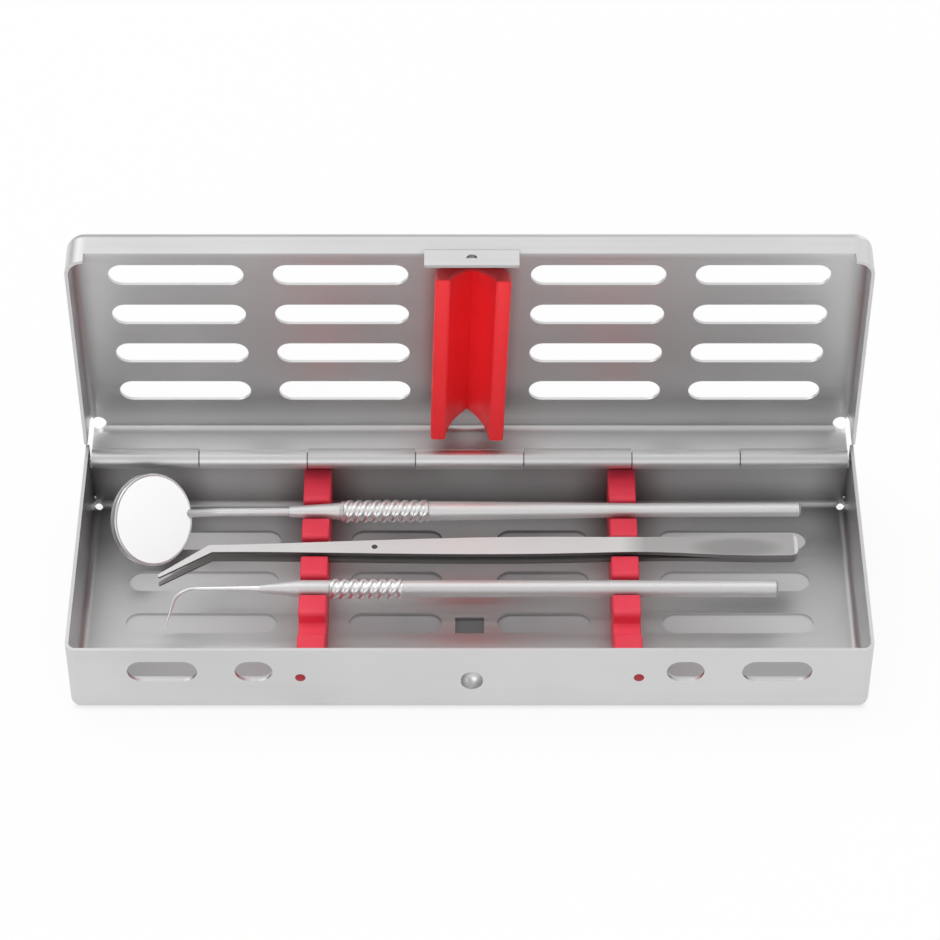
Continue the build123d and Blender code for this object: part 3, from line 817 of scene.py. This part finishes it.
def makeRidgeTree():
    # a sleeve whose skin rises in slanting ridges
    tree = bpy.data.node_groups.new("ridgeTree", "GeometryNodeTree")
    faces = tree.interface
    sockets = {}
    for label in ("Length", "Radius", "Pitch", "Ridge Height", "Ridge Width", "Starts"):
        sockets[label] = faces.new_socket(label, in_out="INPUT", socket_type="NodeSocketFloat")
    for label in ("Steps Along", "Steps Around"):
        sockets[label] = faces.new_socket(label, in_out="INPUT", socket_type="NodeSocketInt")
    sockets["Finish"] = faces.new_socket("Finish", in_out="INPUT", socket_type="NodeSocketMaterial")
    faces.new_socket("Geometry", in_out="OUTPUT", socket_type="NodeSocketGeometry")
    given = tree.nodes.new("NodeGroupInput").outputs
    result = tree.nodes.new("NodeGroupOutput")
    v = ridgeValues

    grid = tree.nodes.new("GeometryNodeMeshGrid")
    grid.inputs["Size X"].default_value = 1.0
    grid.inputs["Size Y"].default_value = 1.0
    tree.links.new(given["Steps Along"], grid.inputs["Vertices X"])
    tree.links.new(given["Steps Around"], grid.inputs["Vertices Y"])
    axes = splitAxes(tree, tree.nodes.new("GeometryNodeInputPosition").outputs[0])
    along = calc(tree, "ADD", axes["X"], 0.5)
    around = calc(tree, "ADD", axes["Y"], 0.5)
    reach = calc(tree, "MULTIPLY", along, given["Length"])
    turns = calc(tree, "DIVIDE", reach, given["Pitch"])
    phase = calc(tree, "SUBTRACT", turns, calc(tree, "MULTIPLY", around, given["Starts"]))
    away = calc(tree, "ABSOLUTE", calc(tree, "SUBTRACT", calc(tree, "FRACT", phase), 0.5))
    half = calc(tree, "MULTIPLY", given["Ridge Width"], 0.5)
    near = calc(tree, "SUBTRACT", half, v["softness"])
    far = calc(tree, "ADD", half, v["softness"])
    ridge = spread(tree, away, near, far, 1.0, 0.0, smooth=True)
    # both ends of the sleeve sink into the handle
    toEnd = calc(tree, "SUBTRACT", 0.5, calc(tree, "ABSOLUTE", axes["X"]))
    ends = spread(tree, toEnd, 0.0, v["endHighlightFade"], v["endSink"])
    rise = calc(tree, "MULTIPLY", calc(tree, "MINIMUM", ridge, ends), given["Ridge Height"])
    radius = calc(tree, "ADD", given["Radius"], rise)
    angle = calc(tree, "MULTIPLY", around, 2 * pi)
    place = tree.nodes.new("ShaderNodeCombineXYZ")
    tree.links.new(reach, place.inputs["X"])
    tree.links.new(calc(tree, "MULTIPLY", calc(tree, "SINE", angle), radius), place.inputs["Y"])
    tree.links.new(calc(tree, "MULTIPLY", calc(tree, "COSINE", angle), radius), place.inputs["Z"])
    move = tree.nodes.new("GeometryNodeSetPosition")
    tree.links.new(grid.outputs["Mesh"], move.inputs["Geometry"])
    tree.links.new(place.outputs["Vector"], move.inputs["Position"])
    weld = tree.nodes.new("GeometryNodeMergeByDistance")
    weld.inputs["Distance"].default_value = v["weld"]
    tree.links.new(move.outputs["Geometry"], weld.inputs["Geometry"])
    smooth = tree.nodes.new("GeometryNodeSetShadeSmooth")
    tree.links.new(weld.outputs["Geometry"], smooth.inputs["Geometry"])
    real = tree.nodes.new("GeometryNodeRealizeInstances")
    tree.links.new(smooth.outputs["Geometry"], real.inputs["Geometry"])
    paint = tree.nodes.new("GeometryNodeSetMaterial")
    tree.links.new(real.outputs["Geometry"], paint.inputs["Geometry"])
    tree.links.new(given["Finish"], paint.inputs["Material"])
    tree.links.new(paint.outputs["Geometry"], result.inputs["Geometry"])
    return tree, {label: socket.identifier for label, socket in sockets.items()}


def bakeTree(name, tree, values):
    seed = bpy.data.objects.new(name + "Seed", bpy.data.meshes.new(name + "Seed"))
    bpy.context.scene.collection.objects.link(seed)
    modifier = seed.modifiers.new("tree", "NODES")
    modifier.node_group = tree
    for identifier, value in values.items():
        modifier[identifier] = value
    graph = bpy.context.evaluated_depsgraph_get()
    plain = bpy.data.meshes.new_from_object(seed.evaluated_get(graph))
    bpy.data.objects.remove(seed)
    plain.name = name
    piece = bpy.data.objects.new(name, plain)
    bpy.context.scene.collection.objects.link(piece)
    return piece


ridgeTree, ridgeSockets = makeRidgeTree()
for gripName, v in gripValues.items():
    ridge = ridgeValues
    given = {
        "Length": v["length"] * mm,
        "Radius": (v["radius"] + ridge["lift"]) * mm,
        "Pitch": ridge["pitch"] * mm,
        "Ridge Height": ridge["height"] * mm,
        "Ridge Width": ridge["width"],
        "Starts": float(ridge["starts"]),
        "Steps Along": int(v["length"] / ridge["pitch"] * ridge["along"]) + 1,
        "Steps Around": ridge["around"] + 1,
        "Finish": litGripFinish,
    }
    grip = bakeTree(gripName, ridgeTree, {ridgeSockets[label]: value for label, value in given.items()})
    turn = Matrix.Rotation(radians(v["turn"]), 4, "Z")
    middle = Matrix.Translation(Vector((0, v["y"], v["z"])) * mm)
    grip.data.transform(middle @ turn @ Matrix.Translation((v["start"] * mm, 0, 0)))
    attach(grip, v["body"])
print("grips made")

bpy.context.view_layer.update()
